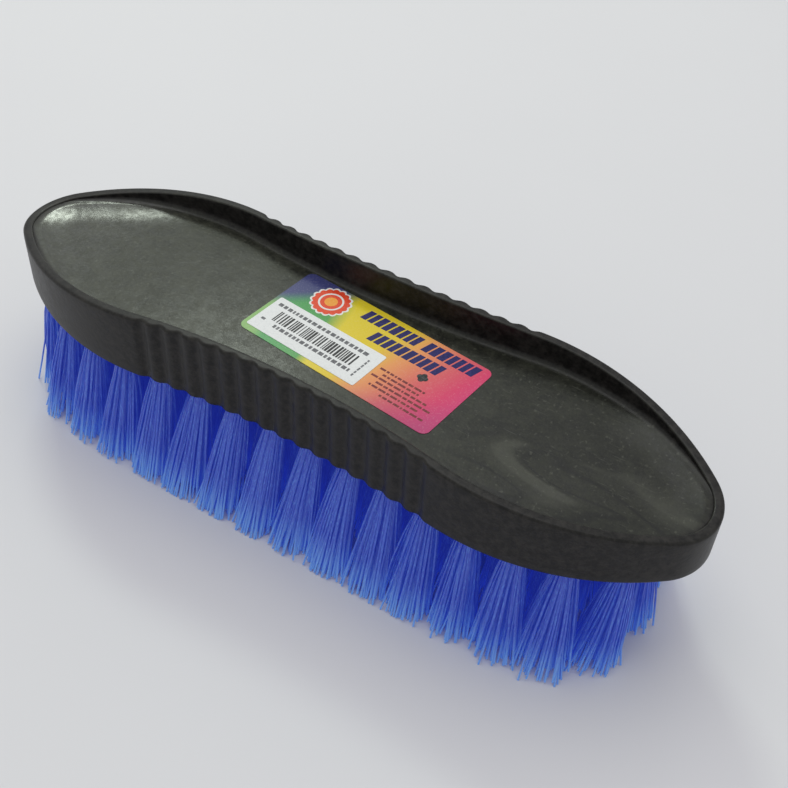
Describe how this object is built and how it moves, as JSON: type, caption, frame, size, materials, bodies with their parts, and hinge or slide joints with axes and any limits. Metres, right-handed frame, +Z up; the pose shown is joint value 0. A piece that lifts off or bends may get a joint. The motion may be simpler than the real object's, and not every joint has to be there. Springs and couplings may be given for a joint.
{
  "type": "hand scrubbing brush",
  "caption": "Waisted black plastic brush block with a recessed top and side grip flutes, and splayed blue bristle tufts below.",
  "frame": {"origin": "centre of the plane that the trimmed bristle tips rest on", "axes": "+X along the brush, +Y across it, +Z up through the recessed top"},
  "size_m": [0.2, 0.067, 0.052],
  "materials": {
    "block": "satin moulded black plastic, lightly scuffed",
    "bristle": "drawn blue plastic filament",
    "wire": "flat plated steel wire",
    "label": "printed film label",
    "price_sticker": "matt coated paper sticker"
  },
  "bodies": {
    "root": {"block": "block", "bristle_row_01": "bristle", "bristle_row_02": "bristle", "bristle_row_03": "bristle", "bristle_row_04": "bristle", "bristle_row_05": "bristle", "bristle_row_06": "bristle", "bristle_row_07": "bristle", "bristle_row_08": "bristle", "bristle_row_09": "bristle", "bristle_row_10": "bristle", "bristle_row_11": "bristle", "bristle_row_12": "bristle", "bristle_row_13": "bristle", "bristle_row_14": "bristle", "bristle_row_15": "bristle", "bristle_row_16": "bristle", "bristle_row_17": "bristle", "bristle_row_18": "bristle", "bristle_row_19": "bristle", "bristle_row_20": "bristle", "bristle_row_21": "bristle", "bristle_row_22": "bristle", "bristle_row_23": "bristle", "bristle_row_24": "bristle", "bristle_row_25": "bristle", "bristle_row_26": "bristle", "bristle_row_27": "bristle", "bristle_row_28": "bristle", "bristle_row_29": "bristle", "anchor_wires_1": "wire", "anchor_wires_2": "wire", "anchor_wires_3": "wire", "anchor_wires_4": "wire", "anchor_wires_5": "wire", "label": "label", "price_sticker": "price_sticker"}
  },
  "joints": []
}
